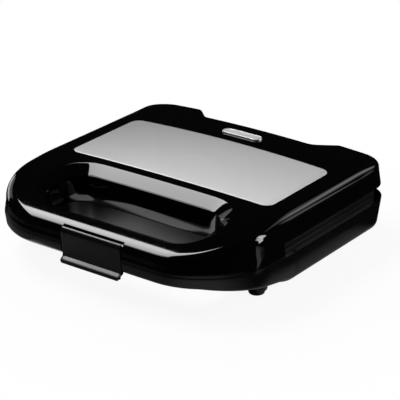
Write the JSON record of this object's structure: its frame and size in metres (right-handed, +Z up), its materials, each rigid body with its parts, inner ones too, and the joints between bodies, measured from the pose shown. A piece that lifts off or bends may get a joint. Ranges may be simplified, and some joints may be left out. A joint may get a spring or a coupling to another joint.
{
  "type": "sandwich toaster",
  "caption": "Closed countertop sandwich toaster in gloss black with a slotted bar handle, a steel lid inlay, a blank oval badge and a front clip latch.",
  "frame": {"origin": "centre of the footprint, on the surface that the feet stand on", "axes": "+Z up, -Y towards the handle and latch, +X towards the right as seen from the front"},
  "size_m": [0.248, 0.2496, 0.0685],
  "materials": {
    "gloss_black": "polished black moulding",
    "inlay_steel": "fine satin, plain",
    "badge_metal": "polished, blank",
    "matt_black": "heat-resistant matt moulding",
    "satin_black": "satin moulding",
    "plate_coating": "non-stick coating on cast aluminium",
    "element_sheath": "dull heat-darkened sheath",
    "plain_steel": "zinc-plated",
    "pan_sheet": "bright sheet",
    "wire_sleeve": "woven heat-proof sleeve",
    "cable_jacket": "smooth jacket",
    "ceramic": "unglazed ceramic",
    "fuse_can": "drawn can",
    "terminal_brass": "turned",
    "foot_rubber": "matt"
  },
  "bodies": {
    "base": {"base_shell": "satin_black", "base_liner": "matt_black", "lower_plate": "plate_coating", "lower_element": "element_sheath", "lower_element_clips": "plain_steel", "lower_reflector": "pan_sheet", "lower_plate_screws": "plain_steel", "base_screws": "plain_steel", "thermostat": "ceramic", "thermostat_bracket": "plain_steel", "thermal_fuse": "fuse_can", "fuse_clip": "plain_steel", "terminal_block": "ceramic", "terminal_screws": "terminal_brass", "base_wires": "wire_sleeve", "link_cable_base": "cable_jacket", "cord_bush": "foot_rubber", "rubber_feet": "foot_rubber", "hinge_pins": "plain_steel"},
    "lid": {"lid_shell": "gloss_black", "lid_inlay": "inlay_steel", "lid_badge": "badge_metal", "lid_liner": "matt_black", "upper_plate": "plate_coating", "upper_element": "element_sheath", "upper_element_clips": "plain_steel", "upper_reflector": "pan_sheet", "upper_plate_screws": "plain_steel", "lid_screws": "plain_steel", "lid_wires": "wire_sleeve", "link_cable_lid": "cable_jacket", "latch_pin": "plain_steel"},
    "latch": {"latch": "satin_black"}
  },
  "joints": [
    {"name": "lid_hinge", "type": "hinge", "parent": "base", "child": "lid", "pos_m": [0, 0.1198, 0.037], "axis": [-1, 0, 0], "range_deg": [0, 90]},
    {"name": "latch_hinge", "type": "hinge", "parent": "lid", "child": "latch", "pos_m": [0, -0.1162, 0.0425], "axis": [-1, 0, 0], "range_deg": [0, 25]}
  ]
}
